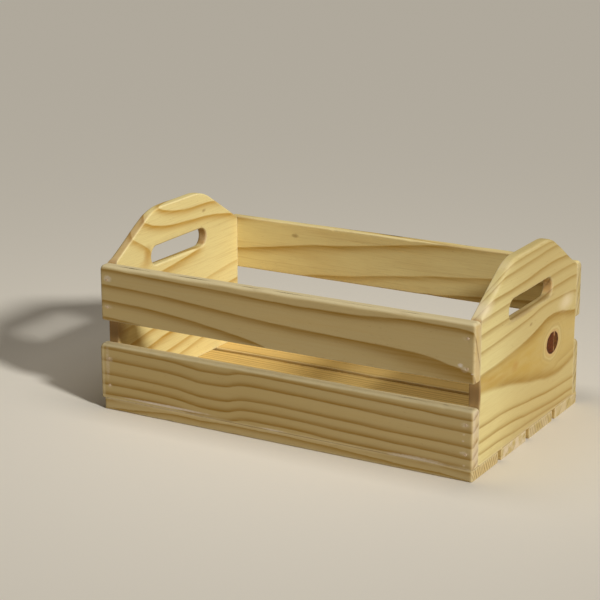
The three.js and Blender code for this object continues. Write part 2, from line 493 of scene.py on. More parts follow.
NAIL_TURN_STEPS = 12
NAIL_PROFILE = (
    (0.0, 0.0), (0.8, -0.02), (1.25, -0.10), (1.4, -0.25), (1.4, -0.8), (1.2, -1.0),
    (0.8, -1.7), (0.8, -2.4), (0.76, -2.5), (0.8, -2.6), (0.8, -3.1), (0.76, -3.2),
    (0.8, -3.3), (0.8, -22.6), (0.5, -23.8), (0.0, -25.0),
)
DAB_RADIUS, DAB_SINK, DAB_STEPS, DAB_UNEVENNESS = 1.15, 0.05, 16, 0.35
DAB_RINGS = ((0.0, 0.02), (0.45, 0.03), (0.8, 0.0), (1.0, -0.10), (0.86, -0.34), (0.0, -0.40))


def turned(profile, steps, head, direction):
    """A closed turned solid: profile (radius, height) round direction, from the head."""
    side = direction.orthogonal().normalized()
    other = direction.cross(side)
    points, rings = [], []
    for radius, height in profile:
        count = steps if radius else 1
        rings.append(range(len(points), len(points) + count))
        centre = head - direction * height * MM
        for k in range(count):
            a = 2 * math.pi * k / steps
            points.append(centre + (side * math.cos(a) + other * math.sin(a)) * radius * MM)
    faces = []
    for ring, following in zip(rings, rings[1:]):
        for k in range(steps):
            turns = ((ring, k), (ring, k + 1), (following, k + 1), (following, k))
            faces.append(tuple(dict.fromkeys(where[i % len(where)] for where, i in turns)))
    return points, faces


def joined(name, solids):
    """One piece made of separate solids (points, faces)."""
    points, faces = [], []
    for more_points, more_faces in solids:
        faces += [tuple(len(points) + i for i in face) for face in more_faces]
        points += more_points
    return mesh_object(name, points, faces)


def nails_piece(side, inward):
    """All the nails driven from one side of the crate."""
    names = [name for name in NAIL_NODES if name.startswith(f"nail_{side}")]
    solids = []
    for name in names:
        middle, half = middle_and_half(name)
        head = (middle - inward * abs(half.dot(inward))) * MM
        solids.append(turned(NAIL_PROFILE, NAIL_TURN_STEPS, head, inward))
    piece = joined(f"nails_{side}", solids)
    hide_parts(*names)
    return piece


def filler_piece(board, seed):
    """The dabs of filler over a board's nails, sanded back almost level with it."""
    solids = []
    for number, (u, v) in enumerate(board.nail_sites):
        points, faces = turned(DAB_RINGS, DAB_STEPS, Vector((0, 0, 0)), -Z)
        shaped = []
        for p in points:
            flat = Vector((p.x, p.y)) * DAB_RADIUS
            angle = math.atan2(flat.y, flat.x)
            edge = smooth_noise((math.cos(angle), math.sin(angle), number), 0.7, seed)
            flat *= 1 + DAB_UNEVENNESS * edge
            height = board.half_w + p.z / MM - DAB_SINK
            shaped.append((u + flat.x / MM, v + flat.y / MM, height))
        solids.append(([Vector(q) for q in board.place(shaped)], faces))
    piece = joined(board.node.replace("slat", "filler"), solids)
    return piece


SEAM_HALF_HEIGHT, SEAM_SINK, SEAM_DEPTH, SEAM_STEP = 0.42, 0.05, 0.5, 2.5
SEAM_END_GAP, SEAM_EDGE_GAP = 2.5, 1.2  # what rounded corners and edges leave open


def seam_strip(start, end, outward, seed):
    """Filler rubbed into a level joint: a thin strip, almost flush with the wood.

    start and end are the ends of the joint on the crate's surface, in millimetres.
    """
    run = end - start
    count = int(run.length / SEAM_STEP)
    points = []
    for k in range(count + 1):
        at = start + run * (k / count)
        swell = 1 + 0.3 * smooth_noise(at, 9, seed)
        for height, depth in ((-1, SEAM_DEPTH), (1, SEAM_DEPTH), (1, SEAM_SINK), (-1, SEAM_SINK)):
            place = at + Z * (height * SEAM_HALF_HEIGHT * swell) - outward * depth
            points.append(place * MM)
    faces = [(0, 1, 2, 3), tuple(range(4 * count, 4 * count + 4))]
    for k in range(count):
        faces += band(4 * k, 4 * k + 4, 4)
    return points, faces


def seam_pieces():
    """The filled joints between the bottom slats and the boards that stand on them."""
    low, high = cad_box[0] / MM, cad_box[1] / MM
    height = (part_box("bottom_slat_1")[1].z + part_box("front_slat_lower")[0].z) / 2 / MM
    solids = {"front": [], "back": [], "left": [], "right": []}
    for name, y, outward in (("front", low.y, -Y), ("back", high.y, Y)):
        start = Vector((low.x + SEAM_END_GAP, y, height))
        end = Vector((high.x - SEAM_END_GAP, y, height))
        solids[name].append(seam_strip(start, end, outward, 61))
    panel = BOARDS["end_panel_left"]
    for number in range(1, 5):
        slat = BOARDS[f"bottom_slat_{number}"]
        first = max(slat.v_mid - slat.half_v, panel.u_mid - panel.half_u) + SEAM_EDGE_GAP
        last = min(slat.v_mid + slat.half_v, panel.u_mid + panel.half_u) - SEAM_EDGE_GAP
        for name, x, outward in (("left", low.x, -X), ("right", high.x, X)):
            start, end = Vector((x, first, height)), Vector((x, last, height))
            solids[name].append(seam_strip(start, end, outward, 70 + number))
    pieces = [joined(f"seam_{name}", strips) for name, strips in solids.items()]
    return pieces


# ---- Shader expressions ----


class Value:
    """A number in a shader. Arithmetic on it makes Math nodes."""

    def __init__(self, graph, socket):
        self.graph, self.socket = graph, socket

    def __add__(self, other):
        return self.graph.math("ADD", self, other)

    def __sub__(self, other):
        return self.graph.math("SUBTRACT", self, other)

    def __rsub__(self, other):
        return self.graph.math("SUBTRACT", other, self)

    def __mul__(self, other):
        return self.graph.math("MULTIPLY", self, other)

    def __truediv__(self, other):
        return self.graph.math("DIVIDE", self, other)

    __radd__, __rmul__ = __add__, __mul__

    def clamp(self):
        return self.graph.math("ADD", self, 0.0, clamp=True)


class Graph:
    """A material's node tree, written as expressions."""

    def __init__(self, name):
        self.material = bpy.data.materials.new(name)
        self.material.use_nodes = True
        self.tree = self.material.node_tree
        self.tree.nodes.clear()

    def node(self, kind, *values, inputs=None, **settings):
        """A new node, with values fed to its first inputs, and to those that are named."""
        made = self.tree.nodes.new(kind)
        for key, value in settings.items():
            setattr(made, key, value)
        for socket, value in zip(made.inputs, values):
            self.feed(socket, value)
        for name, value in (inputs or {}).items():
            self.feed(made.inputs[name], value)
        return made

    def number(self, kind, *values, output=0, **settings):
        """The number that a new node gives."""
        return Value(self, self.node(kind, *values, **settings).outputs[output])

    def feed(self, socket, value):
        if isinstance(value, Value):
            value = value.socket
        if isinstance(value, bpy.types.NodeSocket):
            self.tree.links.new(value, socket)
        else:
            socket.default_value = value

    def coordinates(self, kind="Object"):
        return self.node("ShaderNodeTexCoord").outputs[kind]

    def math(self, operation, *values, clamp=False):
        return self.number("ShaderNodeMath", *values, operation=operation, use_clamp=clamp)

    def lowest(self, *values):
        return reduce(lambda a, b: self.math("MINIMUM", a, b), values)

    def highest(self, *values):
        return reduce(lambda a, b: self.math("MAXIMUM", a, b), values)

    def smooth(self, value, low, high, start=0.0, end=1.0):
        """Turns smoothly from start to end as value goes from low to high."""
        ends = (low, high, start, end)
        return self.number("ShaderNodeMapRange", value, *ends, interpolation_type="SMOOTHSTEP")

    def fade(self, value, low, high, start=1.0):
        return self.smooth(value, low, high, start, 0.0)

    def vector(self, x, y, z):
        return self.node("ShaderNodeCombineXYZ", x, y, z).outputs[0]

    def length(self, vector):
        return self.number("ShaderNodeVectorMath", vector, output="Value", operation="LENGTH")

    def dot(self, *vectors):
        settings = {"output": "Value", "operation": "DOT_PRODUCT"}
        return self.number("ShaderNodeVectorMath", *vectors, **settings)

    def noise(self, vector, scale=1.0, detail=2.0, rough=0.5):
        inputs = {"Vector": vector, "Scale": scale, "Detail": detail, "Roughness": rough}
        return self.number("ShaderNodeTexNoise", inputs=inputs)

    def curve(self, value, points):
        """A smooth curve through given points (x, y), level outside them."""
        xs, ys = zip(*points)
        low_x, span_x = xs[0], xs[-1] - xs[0]
        low_y, span_y = min(ys), max(max(ys) - min(ys), 1e-6)
        made = self.node("ShaderNodeFloatCurve")
        line = made.mapping.curves[0]
        while len(line.points) < len(points):
            line.points.new(0.5, 0.5)
        for point, (x, y) in zip(line.points, points):
            point.location = ((x - low_x) / span_x, (y - low_y) / span_y)
            point.handle_type = "AUTO"
        made.mapping.update()
        self.feed(made.inputs["Value"], ((value - low_x) / span_x).clamp())
        return Value(self, made.outputs[0]) * span_y + low_y

    def mix(self, share, first, second):
        made = self.node("ShaderNodeMix", share, data_type="RGBA")
        colours = [socket for socket in made.inputs if socket.type == "RGBA"]
        for socket, value in zip(colours, (first, second)):
            self.feed(socket, value)
        return next(socket for socket in made.outputs if socket.type == "RGBA")

    def surface(self, tint, rough, relief=None, distance=MM, specular=0.5, metallic=0.0):
        """Ends the material in one shader, and returns the material."""
        inputs = {"Base Color": tint, "Roughness": rough}
        inputs |= {"Specular IOR Level": specular, "Metallic": metallic}
        if relief is not None:
            bump = {"Strength": 1.0, "Distance": distance, "Height": relief}
            inputs["Normal"] = self.node("ShaderNodeBump", inputs=bump).outputs[0]
        shader = self.node("ShaderNodeBsdfPrincipled", inputs=inputs)
        self.node("ShaderNodeOutputMaterial", shader.outputs[0])
        return self.material


def colour(red, green, blue):
    """A linear RGBA colour from 0 to 255 display values."""
    shown = np.array([red, green, blue]) / 255
    linear = np.where(shown <= 0.04045, shown / 12.92, ((shown + 0.055) / 1.055) ** 2.4)
    return (*[float(c) for c in linear], 1.0)


# ---- Pine ----

WOOD_REFLECTANCE = 0.88


def wood(red, green, blue):
    """A colour of the wood, as it looks where the key light falls on it squarely."""
    return (*[c * WOOD_REFLECTANCE for c in colour(red, green, blue)[:3]], 1.0)


EARLYWOOD = wood(231, 215, 158)
LATEWOOD = wood(168, 130, 50)
# The left panel's pine, painted paler: painted light for the strong light on its inner face.
LIT_LEFT_PINE = wood(243, 226, 159)
# Darker copies of the pine for the front boards: painted shade, where the key light only grazes the
# front.
SHADED_FRONT_PINE = wood(207, 184, 131)
SHADED_FRONT_LATE = wood(158, 120, 42)
# Golden pine for the upper back slat, painted paler still: painted bounce light on its inner face.
BOUNCE_LIT_GOLDEN_PINE = wood(255, 237, 170)
BOUNCE_LIT_GOLDEN_LATE = wood(190, 146, 48)
FLOOR_PINE = wood(240, 208, 132)
FLAME_TAN = wood(204, 170, 86)
# A darker tone, laid on along a board's length by its curve.
DARKER_TONE = wood(195, 169, 108)
WARM_PATCH = wood(228, 192, 116)
FIBRE_DARK = wood(202, 168, 106)
RESIN = wood(150, 104, 54)
SLAT_END = (wood(193, 172, 114), wood(134, 101, 54))
RIGHT_END = (wood(230, 184, 112), wood(164, 118, 62))
LEFT_END = (wood(196, 152, 92), wood(150, 106, 56))
# Pale of worn arrises, and of the painted highlight on faces turned up.
PALE_WEAR_AND_TOP_LIGHT = wood(238, 224, 180)
BLEACHED = wood(246, 228, 190)
# Brown for dirt beside the arrises, and for the painted shade and shadow of the darker ovals.
GRIME_AND_PAINTED_SHADE = wood(160, 126, 80)
STAIN = wood(196, 148, 64)
FILLER = wood(238, 224, 206)
SEAM_DUST = wood(180, 152, 104)
KNOT_RED = wood(104, 48, 0)
KNOT_BROWN = wood(106, 60, 0)
KNOT_RIM = wood(60, 24, 0)
KNOT_HALO = wood(218, 178, 122)
CRACK = wood(200, 150, 98)
PIN_KNOT = wood(158, 122, 68)


@dataclass
class Line:
    """One dark ring line on a board's face: its course (u, v), moved up by shift.

    fades is 1 where the tone fades away below the line, and -1 where it fades above it.
    soft is how far its sharp side reaches. widths and tones are curves (u, value).
    """

    course: list
    shift: float = 0.0
    tone: float = 1.0
    width: float = 1.3
    fades: int = 1
    widths: list = None
    tones: list = None
    soft: float = 0.7

    def places(self):
        return [(u, v + self.shift) for u, v in self.course]


@dataclass
class Knot:
    """An oval knot through a board, centred at (u, v) on its outer face."""

    u: float
    v: float
    reach_u: float
    reach_v: float
    lean: float = 0.0
    cracked: bool = False


@dataclass
class Grain:
    """How one board was cut from its tree, and the marks on it.

    slope is how far the ring lines climb across the face for each millimetre of depth,
    and read_at is the depth of the face on which the lines are given. Rings fan out from
    the height fan instead where it is given. Pins are tiny knots (u, v, size); smears,
    stains, bleached and the darker ovals are soft ovals (u, v, reach, reach, strength),
    the darker ovals being painted shade and shadow, and dirt. One share sets how much
    paler the faces turned up are painted, a painted highlight.
    """

    lines: tuple = ()
    even: tuple = None
    wave: tuple = None
    slope: float = 1.0
    fan: float = None
    read_at: float = 0.0
    flame: tuple = None
    knots: tuple = ()
    pins: tuple = ()
    smears: tuple = ()
    stains: tuple = ()
    bleached: tuple = ()
    # Darker ovals of painted shade and shadow, and of dirt.
    painted_shade_and_dirt: tuple = ()
    pale: tuple = EARLYWOOD
    late: tuple = LATEWOOD
    end: tuple = SLAT_END
    end_from: float = 0.5
    warmth: float = 0.3
    # Curve (u, share) by which the wood is made darker along its length.
    darken_along: tuple = None
    dust: float = 0.15
    # How much paler the faces turned up are painted: a painted highlight from above.
    top_light: float = 0.0


class Pine:
    """Builds a board's pine material."""

    def __init__(self, board, grain, seed, edge_distance):
        self.board, self.grain, self.seed = board, grain, seed
        self.g = Graph(f"pine_{board.node}")
        self.places()
        self.edge = edge_distance(self)
        self.material = self.build()

    def places(self):
        """The board's own coordinates, in millimetres."""
        g, board = self.g, self.board
        place, normal = g.coordinates("Object"), g.coordinates("Normal")
        self.u = g.dot(place, board.along) * (1 / MM)
        self.v = g.dot(place, board.across) * (1 / MM)
        out = g.dot(place, board.outward) * (1 / MM)
        self.depth = board.centre.dot(board.outward) + board.half_w - out
        along = g.math("ABSOLUTE", g.dot(normal, board.along))
        self.end_grain = g.smooth(along, self.grain.end_from, self.grain.end_from + 0.4)
        # Faces turned up, which carry the painted highlight.
        self.top_light_mask = g.smooth(g.dot(normal, board.across), 0.2, 0.8)

    def pattern(self, along, across, offset=0.0):
        """The place with each axis multiplied, for a stretched pattern."""
        shift = self.seed * 31.7 + offset
        depth = self.depth * across + shift * 0.5
        return self.g.vector(self.u * along + shift, self.v * across - shift, depth)

    def noise(self, along, across, offset=0.0, detail=3.0, rough=0.5):
        """Noise from 0 to 1, with so many waves to the millimetre along and across."""
        return self.g.noise(self.pattern(along, across, offset), detail=detail, rough=rough)

    def ring_level(self):
        """v carried back to the depth at which the board's lines are given."""
        grain = self.grain
        wander = self.noise(0.018, 0.05, detail=2.0) - 0.5
        ragged = self.noise(0.25, 2.2) - 0.5
        below = self.depth - grain.read_at
        level = self.v + wander * 2.4 + ragged * 0.55
        if grain.fan is not None:
            return (level - grain.fan) * (1.0 + below / 34.0) + grain.fan
        return level - below * grain.slope

    def ring_fall(self, inside):
        """The tone inside a ring line's sharp edge, in shares of its width."""
        sharp = self.g.math("EXPONENT", inside * inside * -1.0) * 0.86
        return sharp + self.g.math("EXPONENT", inside * -0.45) * 0.14

    def line_tone(self, level, line):
        """The tone of one ring line: a sharp edge, then a fade across the ring."""
        g = self.g
        course = g.curve(self.u, line.places())
        past = (course - level) if line.fades > 0 else (level - course)
        rise = g.smooth(past / line.soft, -1.0, 1.0)
        width = line.width if line.widths is None else g.curve(self.u, line.widths)
        tone = rise * self.ring_fall(g.highest(past, 0.0) / width) * line.tone
        return tone if line.tones is None else tone * g.curve(self.u, line.tones)

    def even_tone(self, level, pitch, width, tone):
        """Evenly spaced ring lines, for a board whose rings have no course of their own."""
        g = self.g
        bend = (g.noise(g.vector(level * 0.11, self.seed, 0.0), detail=1.0) - 0.5) * pitch * 1.3
        course = level + bend
        if self.grain.wave is not None:
            course = course - g.curve(self.u, self.grain.wave)
        phase = g.math("FRACT", course / pitch)
        edge = g.fade(phase, 1.0 - 0.4 / pitch, 1.0)
        return edge * self.ring_fall((1.0 - phase) * pitch / width) * tone

    def rings(self, level):
        """How dark the growth rings make the wood here, from 0 to 1."""
        tones = [self.line_tone(level, line) for line in self.grain.lines]
        if self.grain.even is not None:
            tones.append(self.even_tone(level, *self.grain.even))
        light = reduce(lambda left, tone: left * tone, [1.0 - tone for tone in tones])
        return (1.0 - light).clamp()

    def flame_tone(self, level, upper, lower, fill):
        """Latewood laid open between two lines, where the saw ran level with a ring."""
        g = self.g
        top = g.smooth(g.curve(self.u, upper.places()) - level, 0.0, 2.0)
        bottom = g.smooth(level - g.curve(self.u, lower.places()), -1.5, 4.0)
        mottle = g.smooth(self.noise(0.035, 0.16, 5, detail=2.0), 0.2, 0.8, 0.6, 1.1)
        return (top * bottom * g.curve(self.u, fill) * mottle).clamp()

    def oval(self, u, v, reach_u, reach_v, ragged=0.0, scale=0.5, lean=0.0):
        """Distance from (u, v) in shares of an oval's reach, with a ragged edge."""
        across = self.v - v - (self.depth * lean if lean else 0.0)
        reach = self.g.length(self.g.vector((self.u - u) / reach_u, across / reach_v, 0.0))
        if ragged:
            reach = reach + (self.noise(scale, scale) - 0.5) * ragged
        return reach

    def paint(self, share, paint):
        self.tint = self.g.mix(share, self.tint, paint)

    def paint_ovals(self, ovals, paint):
        """Soft ovals (u, v, reach, reach, strength) in one colour."""
        for *place, strength in ovals:
            reach = self.oval(*place, ragged=0.5, scale=0.12)
            self.paint(self.g.fade(reach, 0.1, 1.4, strength), paint)

    def build(self):
        g, grain = self.g, self.grain
        level = self.ring_level()
        fibre = self.noise(0.05, 2.6, detail=4.0, rough=0.6)
        streak = self.noise(0.012, 0.55, 3)
        patch = self.noise(0.011, 0.05, 9, detail=2.0)
        canals = self.canals()
        rings = (self.rings(level) * g.smooth(streak, 0.2, 0.8, 0.82, 1.12)).clamp()

        self.tint = grain.pale
        self.paint(g.smooth(patch, 0.35, 0.75) * grain.warmth, WARM_PATCH)
        self.paint(g.smooth(streak, 0.5, 0.85) * 0.32, FIBRE_DARK)
        # Darker along the length, as the board's curve gives.
        if grain.darken_along is not None:
            self.paint(g.curve(self.u, grain.darken_along), DARKER_TONE)
        if grain.flame is not None:
            self.paint(self.flame_tone(level, *grain.flame), FLAME_TAN)
        self.paint_ovals(grain.stains, STAIN)
        self.paint(rings, grain.late)
        self.paint(g.smooth(fibre, 0.42, 0.78) * 0.34, FIBRE_DARK)
        self.paint(canals * 0.55, RESIN)
        height, shine = self.knots()
        self.end_wood(rings)
        worn = self.wear_and_top_light()
        self.paint_ovals(grain.bleached, BLEACHED)
        # Darker ovals: painted shade and shadow, and dirt.
        self.paint_ovals(grain.painted_shade_and_dirt, GRIME_AND_PAINTED_SHADE)
        self.filler_smears()

        rough = 0.60 + (fibre - 0.5) * 0.16 - rings * 0.07 + self.end_grain * 0.18 + worn * 0.08
        scratch = self.noise(0.9, 0.10, 2)
        relief = rings * 0.10 + fibre * 0.055 + scratch * 0.03 - canals * 0.08 + height
        relief = relief - self.end_grain * self.noise(0.2, 3.2, detail=2.0) * 0.12
        return g.surface(self.tint, (rough + shine).clamp(), relief, specular=0.22)

    def canals(self):
        """Short brown dashes: resin canals cut open along the grain."""
        inputs = {"Vector": self.pattern(0.10, 1.1, 13), "Scale": 1.0}
        cells = self.g.number("ShaderNodeTexVoronoi", output="Distance", inputs=inputs)
        chosen = self.g.smooth(self.noise(0.03, 0.3, 21, detail=1.0), 0.5, 0.65)
        return self.g.fade(cells, 0.05, 0.17) * chosen

    def knots(self):
        """Paints the knots, and gives the relief and the change of roughness they make."""
        g = self.g
        height = shine = 0.0
        for knot in self.grain.knots:
            reach = self.oval(knot.u, knot.v, knot.reach_u, knot.reach_v, 0.12, 0.3, knot.lean)
            reach = reach + (self.u - knot.u) / knot.reach_u * 0.05
            self.grain_round_knot(reach)
            self.paint(g.fade(reach, 1.05, 1.32) * 0.65, KNOT_HALO)
            shaggy = self.noise(0.30, 0.45, 40, detail=4.0)
            heart = g.mix(g.smooth(self.u, knot.u - 1.0, knot.u + 5.0), KNOT_RED, KNOT_BROWN)
            heart = g.mix(g.smooth(shaggy, 0.42, 0.66) * 0.55, heart, KNOT_RIM)
            heart = g.mix(g.smooth(reach, 0.70, 0.95) * 0.6, heart, KNOT_RIM)
            if knot.cracked:
                cracks = self.knot_cracks(knot)
                heart = g.mix(cracks, heart, CRACK)
                height = height - cracks * 0.5
            inside = g.fade(reach, 0.93, 1.04)
            self.paint(inside, heart)
            height = height - g.smooth(reach, 0.92, 1.0) * g.fade(reach, 1.0, 1.1, 0.22)
            shine = shine + inside * 0.12
        for u, v, size in self.grain.pins:
            reach = self.oval(u, v, size * 2.2, size, 0.7, 0.9)
            self.paint(g.fade(reach, 0.3, 1.4, 0.6), PIN_KNOT)
        return height, shine

    def grain_round_knot(self, reach):
        """Pale wood close round a knot, with rings of its own."""
        g = self.g
        outer = reach + (self.noise(0.06, 0.08, 51, detail=2.0) - 0.5) * 0.7
        ring = g.math("SINE", outer * 13.0) * 0.5 + 0.5
        self.paint(g.smooth(outer, 1.2, 1.35) * g.fade(outer, 1.35, 1.9) * 0.35, EARLYWOOD)
        near = g.smooth(outer, 1.15, 1.4) * g.fade(outer, 1.5, 2.3)
        self.paint(near * ring * 0.34, LATEWOOD)

    def knot_cracks(self, knot):
        """Two pale notches above and below a knot's middle, joined by a faint line."""
        g = self.g
        upper = self.oval(knot.u + 2.6, knot.v + 7.4, 1.2, 3.6, 0.6, 0.6)
        lower = self.oval(knot.u + 2.2, knot.v - 5.8, 1.1, 2.8, 0.6, 0.6)
        thread = self.oval(knot.u + 2.2, knot.v, 0.9, 9.0, 0.8, 0.5)
        return g.highest(
            g.fade(upper, 0.4, 1.2, 0.95),
            g.fade(lower, 0.3, 1.3, 0.6),
            g.fade(thread, 0.3, 1.1, 0.28),
        )

    def end_wood(self, rings):
        """Sawn ends: duller wood, the rings still in it, and some sanding dust."""
        g, (pale, dark) = self.g, self.grain.end
        pores = self.noise(0.3, 2.4, 33) - 0.5
        ends = g.mix((rings * 0.95 + pores * 0.5).clamp(), pale, dark)
        dusty = g.smooth(self.noise(0.1, 0.09, 37) + pores * 0.3, 0.35, 0.6)
        self.paint(self.end_grain * 0.85, g.mix(dusty * self.grain.dust, ends, FILLER))

    def wear_and_top_light(self):
        """Sanded arrises are paler and duller, with a little dirt beside them; tops get a painted
        highlight.
        """
        g = self.g
        broken = self.noise(0.09, 0.3, 17)
        arris = g.fade(self.edge + (broken - 0.5) * 1.6, 0.3, 2.2)
        # A painted highlight: faces turned up painted paler, where light from above falls.
        self.paint(self.top_light_mask * self.grain.top_light, PALE_WEAR_AND_TOP_LIGHT)
        self.paint(arris * 0.32, PALE_WEAR_AND_TOP_LIGHT)
        self.paint(g.smooth(broken, 0.56, 0.80) * g.fade(self.edge, 0.5, 5.0) * 0.20, GRIME_AND_PAINTED_SHADE)
        return arris

    def filler_smears(self):
        """Filler sanded into the grain beside the nails and along open joints."""
        g, board = self.g, self.board
        rng = np.random.default_rng(self.seed + 500)
        ovals = []
        for u, v in board.nail_sites:
            reach = (rng.uniform(2.0, 4.6), rng.uniform(1.4, 2.6))
            inwards = -math.copysign(rng.uniform(0.0, 2.5), u)
            place = (u + board.u_mid + inwards, v + board.v_mid + rng.uniform(-1, 1))
            ovals.append((*place, *reach, rng.uniform(0.1, 0.35)))
        ovals += self.grain.smears
        if ovals:
            spots = [g.fade(self.oval(*place), 0.3, 1.25, strength) for *place, strength in ovals]
            cover = g.highest(*spots)
            chalky = self.noise(0.35, 0.8, 29, detail=4.0, rough=0.65) - 0.5
            cover = (cover + chalky * 0.9 * g.smooth(cover, 0.0, 0.2)).clamp()
            self.paint(cover * g.fade(self.depth, 0.6, 1.4), FILLER)


def slat_edge(pine):
    """Distance to the nearest arris of a slat: the middle one of its three distances."""
    g, board = pine.g, pine.board
    du = board.half_u - g.math("ABSOLUTE", pine.u - board.u_mid)
    dv = board.half_v - g.math("ABSOLUTE", pine.v - board.v_mid)
    dw = board.half_w - g.math("ABSOLUTE", pine.depth - board.half_w)
    return g.highest(g.lowest(du, dv), g.lowest(g.highest(du, dv), dw))


def panel_edge(pine):
    """Distance to the nearest arris of a panel, round its outline or its hand slot."""
    g, board = pine.g, pine.board
    side = g.math("ABSOLUTE", pine.u - board.u_mid)
    foot, top = board.v_mid - board.half_v, board.v_mid + board.half_v
    slope = math.atan2(top - SHOULDER, board.half_u - GABLE_FLAT_HALF)
    gable = (board.half_u - side) * math.sin(slope) + (SHOULDER - pine.v) * math.cos(slope)
    outline = g.lowest(board.half_u - side, top - pine.v, pine.v - foot, gable)
    past_end = g.highest(side - (SLOT_LENGTH - SLOT_HEIGHT) / 2, 0.0)
    from_slot = g.length(g.vector(past_end, pine.v - SLOT_CENTRE_Z, 0.0))
    slot = g.math("ABSOLUTE", from_slot - SLOT_HEIGHT / 2)
    face = board.half_w - g.math("ABSOLUTE", pine.depth - board.half_w)
    return g.highest(g.lowest(outline, slot), face)


# ---- The grain of each board, as seen on the face that shows it best ----

TOP_RING = [(-165, 119.2), (-110, 118.0), (-60, 116.3), (0, 114.6), (45, 114.2), (90, 116.2),
            (130, 117.4), (165, 114.2)]
MIDDLE_RING = [(-165, 106.3), (-120, 105.1), (-70, 101.6), (-20, 98.2), (40, 95.5), (90, 94.3),
               (120, 92.8), (145, 88.4), (165, 83.8)]
LOW_RING = [(-165, 93.3), (-120, 91.6), (-85, 89.0), (-50, 84.0), (-25, 80.0), (10, 72.5),
            (60, 66.5), (165, 60.5)]
FRONT_UPPER = Grain(
    lines=[
        Line(TOP_RING, widths=[(-165, 3.2), (20, 3.6), (70, 4.2), (165, 4.0)]),
        Line(MIDDLE_RING, widths=[(-165, 3.0), (0, 4.6), (50, 5.0), (90, 7.0), (120, 11.5),
                                  (165, 13.0)]),
        Line(LOW_RING, widths=[(-165, 3.6), (-90, 4.4), (0, 5.4), (165, 5.4)]),
        Line(LOW_RING, shift=-14.5, width=2.7),
        Line(TOP_RING, shift=34.0, width=2.7),
    ],
    slope=-2.7,
    end=(wood(219, 190, 128), wood(150, 112, 60)),
    smears=[(-158, 111, 4, 3, 0.55), (153.5, 89, 2.4, 1.7, 0.9), (158, 86.3, 1.5, 0.9, 0.6),
            (163, 83.8, 1.2, 0.7, 0.5)],
    warmth=0.15,
    # Darker pine: painted shade for a front that the key light only grazes.
    pale=SHADED_FRONT_PINE,
    late=SHADED_FRONT_LATE,
    # Tops painted paler: a painted highlight.
    top_light=0.65,
    darken_along=[(-165, 0.2), (-60, 0.15), (10, 0.0), (165, 0.0)],
)

DIP = [(-165, 0.3), (-110, 0.0), (-80, -2.5), (-60, -3.7), (-40, -1.2), (-15, 1.1), (50, -0.5),
       (165, -2.9)]
FRONT_LOWER = Grain(
    lines=[
        Line(DIP, shift=offset - 1.8, width=width * 1.15, tone=tone, fades=-1)
        for offset, width, tone in (
            (52.3, 2.2, 1.0), (42.7, 2.5, 1.0), (30.9, 2.4, 1.0),
            (22.2, 2.6, 1.0), (14.1, 2.3, 1.0), (6.5, 2.0, 0.8), (-2.5, 2.0, 0.8),
        )
    ],
    slope=0.5,
    end=(wood(226, 203, 156), wood(160, 124, 73)),
    dust=0.35,
    smears=[(-160.5, 40, 2.2, 16, 0.25), (-104, 12.4, 44, 1.2, 0.8), (-5, 10.3, 12, 1.0, 0.5),
            (118, 10.8, 24, 1.6, 0.5), (157.5, 36.5, 1.3, 0.9, 0.45),
            (157, 31.5, 1.2, 0.8, 0.4), (158, 12.5, 1.2, 0.8, 0.4)],
    warmth=0.15,
    # Darker pine: painted shade for a front that the key light only grazes.
    pale=SHADED_FRONT_PINE,
    late=SHADED_FRONT_LATE,
    # Tops painted paler: a painted highlight.
    top_light=0.65,
    darken_along=[(-165, 0.5), (-40, 0.5), (40, 0.25), (120, 0.05), (165, 0.0)],
)

BACK_RING = [(-165, 92.5), (-130, 97.0), (-100, 102.0), (-80, 105.2), (-50, 108.4),
             (-20, 112.4), (10, 116.5), (60, 122.0), (165, 130.0)]
BACK_UPPER = Grain(
    lines=[
        Line(BACK_RING, width=5.1, tone=0.85),
        Line(BACK_RING, shift=28.0, width=4.1, tone=0.75),
        Line(BACK_RING, shift=-27.0, width=4.1, tone=0.7),
        Line(BACK_RING, shift=-43.0, width=3.2, tone=0.8),
        Line(BACK_RING, shift=-56.0, width=2.7),
    ],
    slope=-2.2,
    read_at=9.5,
    pins=[(-97, 111, 1.6)],
    # Pine painted paler: painted bounce light on the inner face.
    pale=BOUNCE_LIT_GOLDEN_PINE,
    late=BOUNCE_LIT_GOLDEN_LATE,
    warmth=0.35,
)
BACK_LOWER = Grain(
    even=(9.5, 1.9, 0.85),
    wave=[(-165, 0.0), (-60, 4.0), (40, 3.0), (72, -2.0), (110, 2.5), (165, 1.0)],
    slope=-1.3,
    knots=[Knot(72, 30, 4.6, 3.6)],
    warmth=0.4,
)

